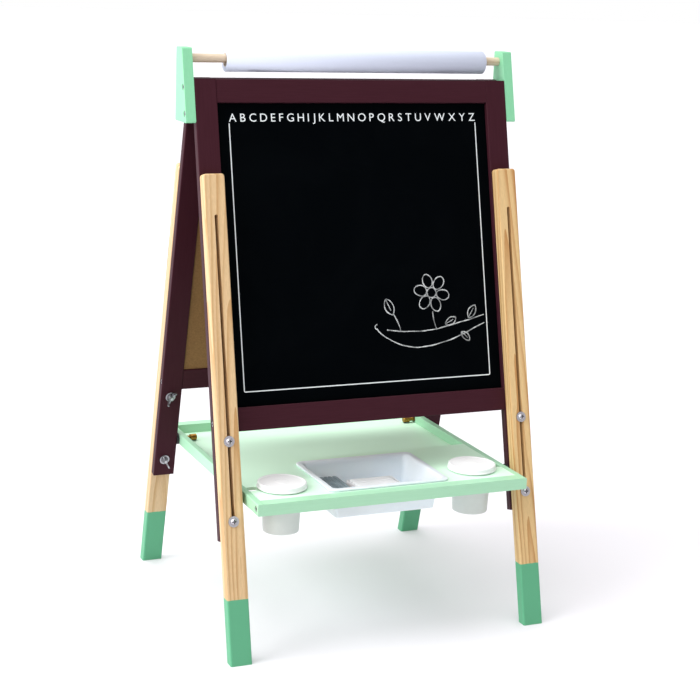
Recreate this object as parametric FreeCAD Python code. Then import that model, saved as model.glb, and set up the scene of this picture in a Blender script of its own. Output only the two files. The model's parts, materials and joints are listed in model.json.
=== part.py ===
import FreeCAD, Part
import math
import os

# Children's double-sided easel: two painted frames hinged at the top, four slotted
# height legs, a tray with paint cups and a tub, and a paper roll on a dowel.
# Millimetres, +Z up, front at -Y, origin on the floor under the middle of the top hinge.

V = FreeCAD.Vector
X_AXIS = V(1, 0, 0)
Y_AXIS = V(0, 1, 0)
Z_AXIS = V(0, 0, 1)
ORIGIN = V(0, 0, 0)

FRONT = -1
REAR = 1
SIDES = (("left", -1), ("right", 1))

# frames
lean = 13.7
pin_height = 869.3
frame_width = 547.0
rear_side_play = 0.5
stile_width = 36.5
stile_length = 718.5
frame_depth = 14.0
rail_width = 37.0
board_opening = 477.3
top_above_pin = 5.0
face_from_pin = 3.8
edge_round = 1.5

# boards held in grooves
board_thickness = 3.0
board_from_inner_face = 3.0
groove_depth = 6.0

# top hinges
hinge_spacing = 360.0
hinge_length = 50.0
hinge_leaf_drop = 24.0
hinge_leaf_thickness = 1.4
knuckle_radius = 3.4
pin_radius = 1.6
knuckle_gap = 0.4
knuckle_length = 17.0
running_clearance = 0.05

# legs
leg_width = 35.0
leg_depth = 19.0
leg_top = 150.0
leg_edge_round = 2.5
leg_corner_round = 5.0
upper_bolt = 564.0
lower_bolt = 687.5
slot_width = 5.6
leg_travel = 347.0

# clamping bolts, washers and wing nuts
bolt_radius = 2.5
bolt_head_radius = 5.2
bolt_head_height = 3.6
washer_radius = 8.5
washer_thickness = 1.2
wing_nut_height = 12.0
bolt_end_out = 9.5

# side plates, dowel and paper roll
plate_thickness = 16.0
plate_top = 925.6
plate_bottom = 810.7
plate_rear = 24.3
plate_corner_round = 3.0
dowel_radius = 7.0
dowel_y = 10.7
dowel_z = 908.6
dowel_engagement = 5.5
left_socket_depth = 6.0
right_socket_depth = 12.0
roll_radius = 19.0
core_outer_radius = 11.0
core_bore_radius = 9.6
roll_drop = 2.3
roll_length = 457.0
roll_shift = 14.5

# wood screws
screw_head_radius = 4.3
screw_head_height = 3.0
screw_pocket_radius = 5.0
screw_pocket_depth = 4.0
screw_radius = 2.0

# tray
tray_top = 253.0
tray_width = 465.0
tray_front = -240.4
tray_rear = 230.8
tray_rail_height = 18.5
side_rail_thickness = 11.0
end_rail_thickness = 20.0
tray_floor_thickness = 3.0
tray_tongue = 4.0
front_board_thickness = 5.0
front_board_rear = -36.0
cross_rail_thickness = 10.0
hand_screw_radius = 3.0
knob_radius = 5.7
front_knob_length = 15.0
rear_knob_length = 22.0
spacer_radius = 10.0
notch_length = 18.0
notch_width = 16.5

# paint cups and lids
cup_x = 167.5
cup_y = -170.3
cup_hole_radius = 33.0
cup_radius = 32.0
cup_bottom_radius = 29.0
cup_wall = 1.6
cup_flange_radius = 37.5
cup_flange_thickness = 2.0
cup_neck_height = 6.0
cup_bottom = 184.0
lid_radius = 40.3
lid_height = 9.0
lid_wall = 1.6

# tub, eraser and chalk box
tub_center_y = -139.6
tub_rim_x = 104.5
tub_rim_y = 79.0
tub_mouth_x = 95.0
tub_mouth_y = 69.5
tub_bottom_x = 86.0
tub_bottom_y = 60.5
tub_rim_top = 257.0
tub_bottom = 204.0
tub_wall = 2.0
tub_rim_thickness = 4.0

half_frame = frame_width / 2
half_tray = tray_width / 2
leg_center = half_frame - leg_width / 2
mid_depth = face_from_pin + frame_depth / 2
outer_face = face_from_pin + frame_depth
rail_mid_z = tray_top - tray_rail_height / 2


def box(x_pair, y_pair, z_pair):
    """A block between two x, two y and two z values."""
    low = V(min(x_pair), min(y_pair), min(z_pair))
    size = V(max(x_pair), max(y_pair), max(z_pair)).sub(low)
    return Part.makeBox(size.x, size.y, size.z, low)


def rod(radius, start, end):
    """A round bar from one point to another."""
    path = end.sub(start)
    return Part.makeCylinder(radius, path.Length, start, path)


def tube(outer, inner, start, end):
    """A round bar with a bore."""
    path = end.sub(start)
    reach = path.normalize()
    bore = rod(inner, start.sub(reach), end.add(reach))
    return rod(outer, start, end).cut(bore)


def round_edges(shape, axis, radius):
    """Round the straight edges that run along one axis."""
    chosen = []
    for edge in shape.Edges:
        if edge.Curve.TypeId == "Part::GeomLine":
            along = edge.tangentAt(edge.FirstParameter)
            if abs(along.dot(axis)) > 0.999:
                chosen.append(edge)
    return shape.makeFillet(radius, chosen)


def together(shapes):
    """Separate solids kept as one group."""
    return Part.makeCompound(shapes)


def stand(shape, face):
    """Lean a flat frame piece about the hinge pin, to the front (-1) or the rear (+1)."""
    placed = shape.copy()
    if face == FRONT:
        placed.rotate(ORIGIN, Z_AXIS, 180)
    placed.rotate(ORIGIN, X_AXIS, face * lean)
    placed.translate(V(0, 0, pin_height))
    return placed


def down(distance):
    """Height in the flat frame of a point this far below the top edge."""
    return top_above_pin - distance


def half_width(face):
    """Half the width over the stiles; the rear frame clears the side plates."""
    if face == REAR:
        return half_frame - rear_side_play
    return half_frame


def save(name, shape):
    shape.exportStep("parts/" + name + ".step")


# ---- wood screws -------------------------------------------------------------

def cross_recess(point, direction, depth, width=1.3, reach=2.7):
    """The cross-shaped pit that takes a driver, to be cut from a screw's head."""
    bars = []
    for half_x, half_y in ((width / 2, reach), (reach, width / 2)):
        bar = Part.makeBox(2 * half_x, 2 * half_y, depth + 1.0, V(-half_x, -half_y, -1.0))
        bar.Placement = FreeCAD.Placement(point, FreeCAD.Rotation(Z_AXIS, direction))
        bars.append(bar)
    return bars[0].fuse(bars[1])


def wood_screw(head_point, direction, length):
    """A pan-head screw, its head's outer face at the first point."""
    under_head = head_point.add(direction * screw_head_height)
    head = rod(screw_head_radius, head_point, under_head)
    shank = rod(screw_radius, under_head, head_point.add(direction * length))
    return head.fuse(shank).cut(cross_recess(head_point, direction, 1.6))


def screw_pocket(face_point, direction, length):
    """The hole for a wood screw: a wide pocket for the head, then the shank's bore."""
    pocket_end = face_point.add(direction * screw_pocket_depth)
    pocket = rod(screw_pocket_radius, face_point.sub(direction), pocket_end)
    bore = rod(screw_radius, face_point, face_point.add(direction * length))
    return pocket.fuse(bore)


frame_screw_length = 55.0
short_screw_length = 38.0
rail_screw_row = 12.0
short_screw_row = 54.0
lower_screw_row = 537.0


def frame_screw_spots(face):
    """Pocket face, side and length of each frame screw. The short ones stop before the board."""
    spots = []
    for side in (-1, 1):
        outer = side * half_width(face)
        upper = outer
        if face == FRONT:
            upper = side * (half_frame + plate_thickness)
            spots.append((V(upper, mid_depth, down(short_screw_row)), side, short_screw_length))
        spots.append((V(upper, mid_depth, down(rail_screw_row)), side, frame_screw_length))
        spots.append((V(outer, mid_depth, down(lower_screw_row)), side, frame_screw_length))
    return spots


def frame_screws(face):
    screws = []
    for point, side, length in frame_screw_spots(face):
        sunk = point.add(V(-side * (screw_pocket_depth - screw_head_height), 0, 0))
        screws.append(wood_screw(sunk, V(-side, 0, 0), length))
    return together(screws)


def frame_screw_holes(face):
    holes = []
    for point, side, length in frame_screw_spots(face):
        reach = length + screw_pocket_depth - screw_head_height
        holes.append(screw_pocket(point, V(-side, 0, 0), reach))
    return together(holes)


# ---- top hinges --------------------------------------------------------------

hinge_screw_radius = 1.5
hinge_screw_length = 9.0


def hinge_screw_points(center_x):
    points = []
    for offset in (-15.0, 15.0):
        points.append(V(center_x + offset, face_from_pin, -hinge_leaf_drop + 8.0))
    return points


def hinge_leaf(center_x, segments):
    """A flat leaf on the rail's inner face, rolled round the pin at its own segments."""
    inner = face_from_pin - hinge_leaf_thickness
    half = hinge_length / 2
    leaf_top = -knuckle_radius - knuckle_gap
    plate = box((center_x - half, center_x + half), (inner, face_from_pin), (-hinge_leaf_drop, leaf_top))
    leaf = round_edges(plate, Y_AXIS, 2.0)
    for low, high in segments:
        start = V(center_x + low, 0, 0)
        end = V(center_x + high, 0, 0)
        knuckle = rod(knuckle_radius, start, end)
        tab = box((start.x, end.x), (inner, knuckle_radius), (leaf_top - 4.0, 0))
        leaf = leaf.fuse(knuckle).fuse(tab)
    bore_radius = pin_radius + running_clearance
    bore = rod(bore_radius, V(center_x - half - 1, 0, 0), V(center_x + half + 1, 0, 0))
    leaf = leaf.cut(bore)
    for point in hinge_screw_points(center_x):
        leaf = leaf.cut(rod(hinge_screw_radius, point.add(V(0, -5, 0)), point.add(V(0, 1, 0))))
    return leaf.removeSplitter()


def hinge_screw(point):
    """A small screw through the leaf, its low head on the leaf."""
    head_base = point.add(V(0, -hinge_leaf_thickness, 0))
    head = rod(3.0, head_base.add(V(0, -1.1, 0)), head_base)
    shank = rod(hinge_screw_radius, head_base, point.add(V(0, hinge_screw_length, 0)))
    return head.fuse(shank)


def hinge_leaves(face):
    half_middle = knuckle_length / 2
    half = hinge_length / 2
    if face == FRONT:
        segments = ((-half, -half_middle - knuckle_gap), (half_middle + knuckle_gap, half))
    else:
        segments = ((-half_middle, half_middle),)
    leaves = []
    for side in (-1, 1):
        leaves.append(hinge_leaf(side * hinge_spacing / 2, segments))
    return together(leaves)


def hinge_screws(face):
    screws = []
    for side in (-1, 1):
        for point in hinge_screw_points(side * hinge_spacing / 2):
            screws.append(hinge_screw(point))
    return together(screws)


def hinge_pins():
    pins = []
    for side in (-1, 1):
        center_x = side * hinge_spacing / 2
        half = hinge_length / 2
        pin = rod(pin_radius, V(center_x - half, 0, 0), V(center_x + half, 0, 0))
        cap_start = V(center_x - half - 1.2, 0, 0)
        cap = rod(pin_radius + 0.9, cap_start, V(center_x - half, 0, 0))
        pins.append(pin.fuse(cap))
    return together(pins)


# ---- frames ------------------------------------------------------------------

def board_blank(face):
    """The board with the edge that sits in the grooves."""
    inner_half = half_width(face) - stile_width + groove_depth
    near = face_from_pin + board_from_inner_face
    top = down(rail_width - groove_depth)
    bottom = down(rail_width + board_opening + groove_depth)
    return box((-inner_half, inner_half), (near, near + board_thickness), (bottom, top))


def bolt_point(side, row, face):
    """Where a leg bolt crosses the frame's inner face plane."""
    return V(side * leg_center, face_from_pin, down(row))


def pivot_row():
    """Distance below the frame's top edge of the tray's fixing point."""
    turn = math.radians(lean)
    height = rail_mid_z - pin_height - mid_depth * math.sin(turn)
    return top_above_pin - height / math.cos(turn)


insert_radius = 4.5
insert_length = 14.0


def insert_span(side, face):
    inner = half_width(face) - stile_width
    start = V(side * inner, mid_depth, down(pivot_row()))
    end = V(side * (inner + insert_length), mid_depth, down(pivot_row()))
    return start, end


def thread_inserts(face):
    """Brass sleeves in the stiles' inner edges that take the tray's hand screws."""
    inserts = []
    for side in (-1, 1):
        start, end = insert_span(side, face)
        sleeve = tube(insert_radius, hand_screw_radius + running_clearance, start, end)
        inserts.append(sleeve)
    return together(inserts)


def stile(side, face, cutters):
    outer = half_width(face)
    block = box(
        (side * outer, side * (outer - stile_width)),
        (face_from_pin, outer_face),
        (down(stile_length), down(0)),
    )
    post = round_edges(block, Z_AXIS, edge_round)
    for row in (upper_bolt, lower_bolt):
        point = bolt_point(side, row, face)
        hole = rod(bolt_radius + 0.2, point.add(V(0, -1, 0)), point.add(V(0, frame_depth + 1, 0)))
        post = post.cut(hole)
    start, end = insert_span(side, face)
    post = post.cut(rod(insert_radius, start.add(V(-side, 0, 0)), end))
    relief_end = end.add(V(side * 12.0, 0, 0))
    post = post.cut(rod(hand_screw_radius + 0.2, start, relief_end))
    for cutter in cutters:
        post = post.cut(cutter)
    return post


def rail(top_row, face, cutters):
    inner = half_width(face) - stile_width
    block = box(
        (-inner, inner),
        (face_from_pin, outer_face),
        (down(top_row + rail_width), down(top_row)),
    )
    bar = round_edges(block, X_AXIS, edge_round)
    for cutter in cutters:
        bar = bar.cut(cutter)
    return bar


def make_frame(face, prefix, board_name):
    board = board_blank(face)
    screws = frame_screws(face)
    holes = frame_screw_holes(face)
    small_screws = hinge_screws(face)
    cutters = (board, holes, small_screws)
    for label, side in SIDES:
        post = stile(side * face, face, cutters)
        save(prefix + "_stile_" + label, stand(post, face))
    bottom_row = rail_width + board_opening
    save(prefix + "_top_rail", stand(rail(0, face, cutters), face))
    save(prefix + "_bottom_rail", stand(rail(bottom_row, face, cutters), face))
    save(board_name, stand(board, face))
    save(prefix + "_hinge_leaves", stand(hinge_leaves(face), face))
    fixings = together(screws.Solids + small_screws.Solids)
    save(prefix + "_screws", stand(fixings, face))
    save(prefix + "_thread_inserts", stand(thread_inserts(face), face))


# ---- legs with their bolts ---------------------------------------------------

def leg(side, face):
    """A slotted bar on the frame's outer face, its foot cut level with the floor."""
    slot_top_center = upper_bolt - leg_travel - 0.8
    x_pair = (side * (leg_center - leg_width / 2), side * (leg_center + leg_width / 2))
    y_pair = (outer_face + running_clearance, outer_face + leg_depth)
    block = box(x_pair, y_pair, (down(1000.0), down(leg_top)))
    corners = []
    for edge in block.Edges:
        middle = edge.CenterOfMass
        on_top = abs(middle.z - down(leg_top)) < 0.01
        along = edge.tangentAt(edge.FirstParameter)
        if on_top and abs(along.dot(Y_AXIS)) > 0.999:
            corners.append(edge)
    bar = block.makeFillet(leg_corner_round, corners)
    bar = round_edges(bar, Z_AXIS, leg_edge_round)
    radius = slot_width / 2
    center_x = side * leg_center
    before = outer_face - 1.0
    after = outer_face + leg_depth + 1.0
    slot = box(
        (center_x - radius, center_x + radius),
        (before, after),
        (down(lower_bolt), down(slot_top_center)),
    )
    for row in (slot_top_center, lower_bolt):
        slot = slot.fuse(rod(radius, V(center_x, before, down(row)), V(center_x, after, down(row))))
    placed = stand(bar.cut(slot), face)
    underground = box((-600, 600), (-600, 600), (-300, 0))
    return placed.cut(underground)


def leg_bolt(side, row, face):
    """A machine screw with a domed, cross-recessed head outside the leg."""
    point = bolt_point(side, row, face)
    seat = outer_face + leg_depth + washer_thickness
    seat_point = V(point.x, seat, point.z)
    crown = V(point.x, seat + bolt_head_height, point.z)
    dome_radius = (bolt_head_radius ** 2 + bolt_head_height ** 2) / (2 * bolt_head_height)
    dome = Part.makeSphere(dome_radius, crown.sub(V(0, dome_radius, 0)))
    head = rod(bolt_head_radius, seat_point, crown).common(dome)
    head = head.cut(cross_recess(crown, V(0, -1, 0), 2.2, 1.9, 3.5))
    tip = V(point.x, face_from_pin - bolt_end_out, point.z)
    return head.fuse(rod(bolt_radius, tip, seat_point))


def washer(point, thickness):
    return tube(washer_radius, bolt_radius + 0.2, point, point.add(V(0, thickness, 0)))


def leg_fixings(face):
    """Bolts and washers of one frame: a washer under each head and each wing nut."""
    bolts = []
    washers = []
    for side in (-1, 1):
        for row in (upper_bolt, lower_bolt):
            point = bolt_point(side, row, face)
            bolts.append(leg_bolt(side, row, face))
            washers.append(washer(V(point.x, outer_face + leg_depth, point.z), washer_thickness))
            washers.append(washer(V(point.x, face_from_pin - washer_thickness, point.z), washer_thickness))
    return together(bolts), together(washers)


def wing_outline():
    """One wing of a wing nut, in the plane of its axis (z) and its reach (x)."""
    foot = V(2.9, 0, 0.4)
    low = V(7.5, 0, 2.0)
    tip_low = V(13.2, 0, 8.4)
    tip_mid = V(13.6, 0, 11.0)
    tip_high = V(11.2, 0, wing_nut_height)
    waist = V(7.2, 0, 8.2)
    shoulder = V(2.9, 0, 6.4)
    edges = [
        Part.LineSegment(foot, low).toShape(),
        Part.LineSegment(low, tip_low).toShape(),
        Part.Arc(tip_low, tip_mid, tip_high).toShape(),
        Part.Arc(tip_high, V(9.4, 0, 9.3), waist).toShape(),
        Part.LineSegment(waist, shoulder).toShape(),
        Part.LineSegment(shoulder, foot).toShape(),
    ]
    return Part.Face(Part.Wire(edges))


def wing_nut():
    """A wing nut on the z axis, its base at z = 0."""
    hub = Part.makeCone(5.6, 4.2, 7.0)
    wing_thickness = 2.4
    plate = wing_outline().extrude(V(0, wing_thickness, 0))
    plate.translate(V(0, -wing_thickness / 2, 0))
    other = plate.copy()
    other.rotate(ORIGIN, Z_AXIS, 180)
    nut = hub.fuse(plate).fuse(other).removeSplitter()
    return nut.cut(rod(bolt_radius + running_clearance, V(0, 0, -1), V(0, 0, 14)))


wing_turns = {-1: (62.0, 118.0), 1: (97.0, 48.0)}


def make_legs(face, prefix):
    for label, side in SIDES:
        save(prefix + "_leg_" + label, leg(side * face, face))
        for level, row, turn in zip(("upper", "lower"), (upper_bolt, lower_bolt), wing_turns[side]):
            nut = wing_nut()
            nut.rotate(ORIGIN, Z_AXIS, turn)
            nut.rotate(ORIGIN, X_AXIS, 90)
            point = bolt_point(side * face, row, face)
            nut_base = point.y - washer_thickness - running_clearance
            nut.translate(V(point.x, nut_base, point.z))
            save(prefix + "_wing_nut_" + label + "_" + level, stand(nut, face))
    bolts, washers = leg_fixings(face)
    save(prefix + "_leg_bolts", stand(bolts, face))
    save(prefix + "_washers", stand(washers, face))


# ---- side plates, dowel and paper roll ---------------------------------------

def front_face_y(height):
    """The front frame's outer face at a height."""
    turn = math.radians(lean)
    return -(outer_face / math.cos(turn)) - (pin_height - height) * math.tan(turn)


def side_plate(side):
    """A board tapering upwards: front edge along the frame, rear edge upright."""
    inner = side * half_frame
    corners = [
        V(inner, front_face_y(plate_bottom), plate_bottom),
        V(inner, plate_rear, plate_bottom),
        V(inner, plate_rear, plate_top),
        V(inner, front_face_y(plate_top), plate_top),
    ]
    outline = Part.Face(Part.makePolygon(corners + corners[:1]))
    plate = outline.extrude(V(side * plate_thickness, 0, 0))
    plate = round_edges(plate, X_AXIS, plate_corner_round)
    if side < 0:
        depth = left_socket_depth
    else:
        depth = right_socket_depth
    mouth = V(inner - side, dowel_y, dowel_z)
    floor = V(inner + side * depth, dowel_y, dowel_z)
    plate = plate.cut(rod(dowel_radius + running_clearance, mouth, floor))
    return plate.cut(stand(frame_screw_holes(FRONT), FRONT))


def dowel():
    reach = half_frame + dowel_engagement
    bar = rod(dowel_radius, V(-reach, dowel_y, dowel_z), V(reach, dowel_y, dowel_z))
    return bar.makeChamfer(0.8, [edge for edge in bar.Edges if edge.Closed])


def paper_tube(outer, inner):
    start = roll_shift - roll_length / 2
    height = dowel_z - roll_drop
    return tube(outer, inner, V(start, dowel_y, height), V(start + roll_length, dowel_y, height))


# ---- tray --------------------------------------------------------------------

def pivot_y():
    """Distance from the middle of the tray's fixing points, front and rear."""
    turn = math.radians(lean)
    return mid_depth * math.cos(turn) - down(pivot_row()) * math.sin(turn)


tray_screw_length = 32.0
inner_tray = half_tray - side_rail_thickness
floor_z = tray_top - tray_rail_height
board_underside = tray_top - front_board_thickness
front_rail_y = (tray_front, tray_front + end_rail_thickness)
rear_rail_y = (tray_rear - end_rail_thickness, tray_rear)
cross_rail_y = (front_board_rear - cross_rail_thickness, front_board_rear)
tray_rail_z = (floor_z, tray_top)


def tray_floor():
    half = inner_tray + tray_tongue
    y_pair = (front_board_rear - tray_tongue, rear_rail_y[0] + tray_tongue)
    return box((-half, half), y_pair, (floor_z, floor_z + tray_floor_thickness))


def tray_screw_spots():
    rows = (sum(front_rail_y) / 2, sum(cross_rail_y) / 2, sum(rear_rail_y) / 2)
    spots = []
    for side in (-1, 1):
        for row in rows:
            spots.append((V(side * half_tray, row, rail_mid_z), side))
    return spots


def tray_screw_holes():
    holes = []
    for point, side in tray_screw_spots():
        reach = tray_screw_length + screw_pocket_depth - screw_head_height
        holes.append(screw_pocket(point, V(-side, 0, 0), reach))
    return together(holes)


def tray_screws():
    screws = []
    for point, side in tray_screw_spots():
        sunk = point.add(V(-side * (screw_pocket_depth - screw_head_height), 0, 0))
        screws.append(wood_screw(sunk, V(-side, 0, 0), tray_screw_length))
    return together(screws)


def side_rail(side):
    bar = box((side * half_tray, side * inner_tray), (tray_front, tray_rear), tray_rail_z)
    bar = round_edges(bar, Y_AXIS, edge_round)
    for y in (-pivot_y(), pivot_y()):
        start = V(side * (half_tray + 1), y, rail_mid_z)
        end = V(side * (inner_tray - 1), y, rail_mid_z)
        bar = bar.cut(rod(hand_screw_radius + running_clearance, start, end))
    return bar.cut(tray_floor()).cut(tray_screw_holes())


def end_rail(y_pair):
    bar = box((-inner_tray, inner_tray), y_pair, tray_rail_z)
    return bar.cut(tray_floor()).cut(tray_screw_holes())


def cross_rail():
    bar = box((-inner_tray, inner_tray), cross_rail_y, (floor_z, board_underside))
    return bar.cut(tray_floor()).cut(tray_screw_holes())


def front_board():
    """The raised part, cut for the tub, the two cups and the front hand screws."""
    board = box(
        (-inner_tray, inner_tray),
        (front_rail_y[1], front_board_rear),
        (board_underside, tray_top),
    )
    through = (board_underside - 1, tray_top + 1)
    play = 1.0
    opening = box(
        (-tub_mouth_x - play, tub_mouth_x + play),
        (tub_center_y - tub_mouth_y - play, tub_center_y + tub_mouth_y + play),
        through,
    )
    board = board.cut(round_edges(opening, Z_AXIS, 9.0))
    for side in (-1, 1):
        center = V(side * cup_x, cup_y, through[0])
        board = board.cut(rod(cup_hole_radius, center, V(center.x, center.y, through[1])))
        notch = box(
            (side * (inner_tray + 1), side * (inner_tray - notch_width)),
            (-pivot_y() - notch_length / 2, -pivot_y() + notch_length / 2),
            through,
        )
        board = board.cut(round_edges(notch, Z_AXIS, 3.0))
    return board


def hand_screw(side, y, knob_length, stud_end):
    """A brass knob with its stud, turned by hand from inside the tray."""
    face = side * inner_tray
    collar_end = side * (inner_tray - 2.0)
    neck_end = side * (inner_tray - knob_length + 12.0)
    knob_end = side * (inner_tray - knob_length)
    collar = rod(5.0, V(face, y, rail_mid_z), V(collar_end, y, rail_mid_z))
    neck = rod(3.6, V(collar_end, y, rail_mid_z), V(neck_end, y, rail_mid_z))
    knob = rod(knob_radius, V(neck_end, y, rail_mid_z), V(knob_end, y, rail_mid_z))
    knob = knob.makeChamfer(0.8, [edge for edge in knob.Edges if edge.Closed])
    stud = rod(hand_screw_radius, V(side * stud_end, y, rail_mid_z), V(face, y, rail_mid_z))
    return collar.fuse(neck).fuse(knob).fuse(stud)


def spacers(face):
    """Dark discs on the stiles' inner edges that keep the tray off the frame."""
    discs = []
    stile_inner = half_width(face) - stile_width
    tray_gap = 0.3
    for side in (-1, 1):
        y = face * pivot_y()
        start = V(side * (half_tray + tray_gap), y, rail_mid_z)
        end = V(side * stile_inner, y, rail_mid_z)
        discs.append(tube(spacer_radius, hand_screw_radius + 0.2, start, end))
    return together(discs)


def make_tray():
    for label, side in SIDES:
        save("tray_side_rail_" + label, side_rail(side))
        front_stud_end = half_width(FRONT) - stile_width + insert_length + 8.0
        rear_stud_end = half_tray
        front_screw = hand_screw(side, -pivot_y(), front_knob_length, front_stud_end)
        rear_screw = hand_screw(side, pivot_y(), rear_knob_length, rear_stud_end)
        save("front_hand_screw_" + label, front_screw)
        save("rear_hand_screw_" + label, rear_screw)
    save("tray_front_rail", end_rail(front_rail_y))
    save("tray_rear_rail", end_rail(rear_rail_y))
    save("tray_cross_rail", cross_rail())
    save("tray_floor", tray_floor())
    save("tray_front_board", front_board())
    save("tray_screws", tray_screws())
    save("front_spacers", spacers(FRONT))
    save("rear_spacers", spacers(REAR))


# ---- paint cups and lids -----------------------------------------------------

def revolved(points, center_x, center_y):
    """Turn an outline, given as radius and height pairs, into a round solid."""
    outline = []
    for radius, height in points:
        outline.append(V(radius, 0, height))
    face = Part.Face(Part.makePolygon(outline + outline[:1]))
    body = face.revolve(ORIGIN, Z_AXIS, 360)
    body.translate(V(center_x, center_y, 0))
    return body


def cup(center_x):
    """A tapered pot hung by its flange, with a short neck for the lid."""
    flange_top = tray_top + cup_flange_thickness
    neck_top = flange_top + cup_neck_height
    neck_radius = cup_radius
    return revolved(
        (
            (0, cup_bottom),
            (cup_bottom_radius - 2.0, cup_bottom),
            (cup_bottom_radius, cup_bottom + 3.0),
            (cup_radius, tray_top),
            (cup_flange_radius, tray_top),
            (cup_flange_radius, flange_top),
            (neck_radius, flange_top),
            (neck_radius, neck_top),
            (neck_radius - cup_wall, neck_top),
            (cup_bottom_radius - cup_wall, cup_bottom + 4.0),
            (cup_bottom_radius - 4.0, cup_bottom + cup_wall),
            (0, cup_bottom + cup_wall),
        ),
        center_x,
        cup_y,
    )


def lid(center_x):
    """A round cap that rests on the cup's flange, over its neck."""
    base = tray_top + cup_flange_thickness
    top = base + lid_height
    inner_radius = cup_radius + 0.4
    return revolved(
        (
            (inner_radius, base),
            (lid_radius, base),
            (lid_radius, top - 3.2),
            (lid_radius - 0.9, top - 1.3),
            (lid_radius - 2.6, top - 0.4),
            (lid_radius - 6.0, top),
            (0, top),
            (0, top - lid_wall),
            (inner_radius, top - lid_wall),
        ),
        center_x,
        cup_y,
    )


def make_cups():
    for label, side in SIDES:
        save("paint_cup_" + label, cup(side * cup_x))
        save("cup_lid_" + label, lid(side * cup_x))


# ---- tub with the eraser and the chalk box -------------------------------------

def rounded_outline(half_x, half_y, radius, height):
    """A rectangle with round corners, as a wire at one height."""
    solid = box((-half_x, half_x), (-half_y, half_y), (height, height + 1.0))
    rounded = round_edges(solid, Z_AXIS, radius)
    for face in rounded.Faces:
        if abs(face.CenterOfMass.z - height) < 0.01:
            wire = face.OuterWire
    wire.translate(V(0, tub_center_y, 0))
    return wire


def tapered(half_x_low, half_y_low, radius_low, low, half_x_high, half_y_high, radius_high, high):
    wires = [
        rounded_outline(half_x_low, half_y_low, radius_low, low),
        rounded_outline(half_x_high, half_y_high, radius_high, high),
    ]
    return Part.makeLoft(wires, True, True)


def tub():
    """A shallow tapered bin that hangs by its flat rim."""
    outer = tapered(
        tub_bottom_x, tub_bottom_y, 12.0, tub_bottom,
        tub_mouth_x, tub_mouth_y, 8.0, tub_rim_top,
    )
    rim = rounded_outline(tub_rim_x, tub_rim_y, 11.0, tray_top)
    rim_slab = Part.Face(rim).extrude(V(0, 0, tub_rim_thickness))
    hollow = tapered(
        tub_bottom_x - tub_wall, tub_bottom_y - tub_wall, 10.0, tub_bottom + tub_wall,
        tub_mouth_x - tub_wall + 0.4, tub_mouth_y - tub_wall + 0.4, 7.0, tub_rim_top + 1.0,
    )
    return outer.fuse(rim_slab).cut(hollow)


eraser_x = (-81.5, -41.5)
eraser_y = (-194.0, -88.0)
eraser_base = tub_bottom + tub_wall
eraser_wood_height = 22.0
eraser_felt_height = 10.0
chalk_box_x = (-31.0, 49.0)
chalk_box_y = (-166.0, -112.0)
chalk_box_height = 33.0


def make_tub():
    save("tub", tub())
    wood_top = eraser_base + eraser_wood_height
    block = box(eraser_x, eraser_y, (eraser_base, wood_top))
    save("eraser_block", round_edges(block, Z_AXIS, 3.0))
    felt = box(
        (eraser_x[0] + 0.8, eraser_x[1] - 0.8),
        (eraser_y[0] + 0.8, eraser_y[1] - 0.8),
        (wood_top, wood_top + eraser_felt_height),
    )
    save("eraser_felt", round_edges(felt, Z_AXIS, 3.0))
    carton = box(chalk_box_x, chalk_box_y, (eraser_base, eraser_base + chalk_box_height))
    save("chalk_box", round_edges(carton, Z_AXIS, 1.0))


# ---- everything --------------------------------------------------------------

os.makedirs("parts", exist_ok=True)

make_frame(FRONT, "front", "chalkboard")
make_frame(REAR, "rear", "dry_wipe_board")
save("hinge_pins", stand(hinge_pins(), FRONT))
make_legs(FRONT, "front")
make_legs(REAR, "rear")
for label, side in SIDES:
    save("side_plate_" + label, side_plate(side))
save("dowel", dowel())
save("paper_core", paper_tube(core_outer_radius, core_bore_radius))
save("paper_roll", paper_tube(roll_radius, core_outer_radius))
make_tray()
make_cups()
make_tub()
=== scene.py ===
import json
import math

import bmesh
import bpy
import numpy as np
from mathutils import Matrix, Vector


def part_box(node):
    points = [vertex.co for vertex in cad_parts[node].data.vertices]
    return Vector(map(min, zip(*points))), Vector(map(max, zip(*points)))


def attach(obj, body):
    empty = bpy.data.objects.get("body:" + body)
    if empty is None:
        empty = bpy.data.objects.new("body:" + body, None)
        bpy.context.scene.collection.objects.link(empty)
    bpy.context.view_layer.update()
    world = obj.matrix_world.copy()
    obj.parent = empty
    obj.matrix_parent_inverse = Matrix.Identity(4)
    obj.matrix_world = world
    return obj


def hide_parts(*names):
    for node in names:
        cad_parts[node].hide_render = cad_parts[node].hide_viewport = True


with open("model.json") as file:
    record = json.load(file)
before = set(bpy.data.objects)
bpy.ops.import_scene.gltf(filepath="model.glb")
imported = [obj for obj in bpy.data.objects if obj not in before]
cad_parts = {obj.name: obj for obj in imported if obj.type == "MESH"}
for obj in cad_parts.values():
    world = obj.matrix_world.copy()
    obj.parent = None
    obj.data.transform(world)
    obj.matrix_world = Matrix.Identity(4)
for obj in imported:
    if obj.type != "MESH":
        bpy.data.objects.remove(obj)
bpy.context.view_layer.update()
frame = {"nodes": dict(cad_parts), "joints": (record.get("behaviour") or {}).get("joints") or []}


# ---- painted frames --------------------------------------------------------------------
# Two pine frames, each two stiles with two rails screwed between them, sprayed with a
# satin maroon paint that leaves the grain just readable under the light.

joints = {joint["name"]: joint for joint in frame["joints"]}
slide_axis = joints["front_leg_left_slide"]["axis"]
lean = math.atan2(-slide_axis[1], -slide_axis[2])


def srgb(code):
    """Turns a six-digit sRGB hex colour into linear red, green, blue and an alpha of 1."""
    values = np.array([int(code[start:start + 2], 16) for start in (0, 2, 4)]) / 255
    linear = np.where(values <= 0.04045, values / 12.92, ((values + 0.055) / 1.055) ** 2.4)
    return (*linear.tolist(), 1.0)


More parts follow.
